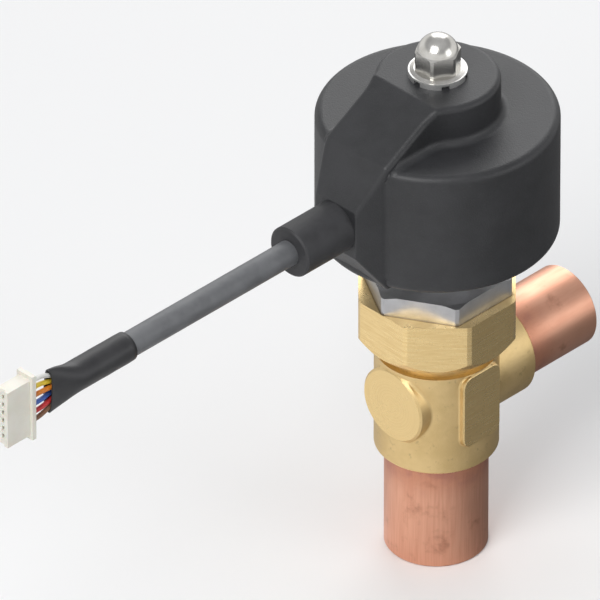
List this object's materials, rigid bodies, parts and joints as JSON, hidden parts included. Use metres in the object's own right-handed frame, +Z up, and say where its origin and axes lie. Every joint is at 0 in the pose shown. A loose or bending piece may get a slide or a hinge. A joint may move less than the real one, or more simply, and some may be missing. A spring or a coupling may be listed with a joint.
{
  "type": "electronic expansion valve",
  "caption": "Refrigerant expansion valve: brass body with side inlet and bottom outlet stubs, stepper coil on top and a cable with plug.",
  "frame": {"origin": "centre of the outlet stub's open end", "axes": "+Z up the valve's axis towards the cap nut, +X towards the inlet stub; the cable leaves towards -X"},
  "size_m": [0.211, 0.0652, 0.1631],
  "materials": {
    "body_brass": "forged brass, milled flats, satin",
    "stub_copper": "bare drawn copper, satin",
    "stainless": "bright stainless steel",
    "head_steel": "turned stainless steel, satin",
    "bush_brass": "turned brass",
    "bearing_steel": "ground bearing steel",
    "seal_rubber": "black rubber",
    "hub_plastic": "natural moulded plastic",
    "magnet": "bonded ferrite magnet, dark grey",
    "coil_plastic": "black glass-filled moulding, fine texture",
    "yoke_steel": "plated pressed steel",
    "bobbin_plastic": "natural moulded plastic",
    "winding_copper": "enamelled copper wire",
    "board": "green circuit board",
    "contact_metal": "tinned contact metal",
    "gland_rubber": "black moulded rubber",
    "nut_plating": "nickel plating",
    "jacket_plastic": "dark grey cable jacket",
    "sleeve_plastic": "black heat-shrink tube",
    "connector_plastic": "natural white nylon",
    "wire_1": "white insulation",
    "wire_2": "yellow insulation",
    "wire_3": "orange insulation",
    "wire_4": "blue insulation",
    "wire_5": "red insulation",
    "wire_6": "brown insulation"
  },
  "bodies": {
    "valve": {"valve_body": "body_brass", "outlet_stub": "stub_copper", "inlet_stub": "stub_copper", "seat_ring": "stainless", "guide_bush": "bush_brass", "anti_rotation_pin": "stainless", "cartridge_head": "head_steel", "cartridge_o_ring": "seal_rubber", "bearing_outer_race": "bearing_steel", "bearing_balls": "bearing_steel", "rotor_can": "stainless", "can_stud": "stainless", "upper_bush": "bush_brass", "coil_gasket": "seal_rubber", "coil_housing": "coil_plastic", "lower_cup_yoke": "yoke_steel", "lower_plate_yoke": "yoke_steel", "upper_plate_yoke": "yoke_steel", "upper_cup_yoke": "yoke_steel", "lower_bobbin": "bobbin_plastic", "upper_bobbin": "bobbin_plastic", "lower_winding": "winding_copper", "upper_winding": "winding_copper", "terminal_board": "board", "terminal_pins": "contact_metal", "cable_gland": "gland_rubber", "notched_washer": "nut_plating", "cap_nut": "nut_plating", "cable_jacket": "jacket_plastic", "heat_shrink_sleeve": "sleeve_plastic", "connector_housing": "connector_plastic", "connector_terminals": "contact_metal", "lead_wire_1": "wire_1", "lead_wire_2": "wire_2", "lead_wire_3": "wire_3", "lead_wire_4": "wire_4", "lead_wire_5": "wire_5", "lead_wire_6": "wire_6"},
    "rotor": {"lead_screw": "stainless", "rotor_hub": "hub_plastic", "rotor_magnet": "magnet", "bearing_inner_race": "bearing_steel"},
    "needle": {"needle": "stainless", "screw_nut": "bush_brass"}
  },
  "joints": [
    {"name": "rotor_spin", "type": "hinge", "parent": "valve", "child": "rotor", "pos_m": [0, 0, 0.12], "axis": [0, 0, 1], "range_deg": [0, 1620]},
    {"name": "needle_lift", "type": "slide", "parent": "valve", "child": "needle", "axis": [0, 0, 1], "range_m": [0, 0.0045]}
  ],
  "couplings": [
    {"joint": "rotor_spin", "follows": "needle_lift", "rad_per_m": 6283.2}
  ]
}
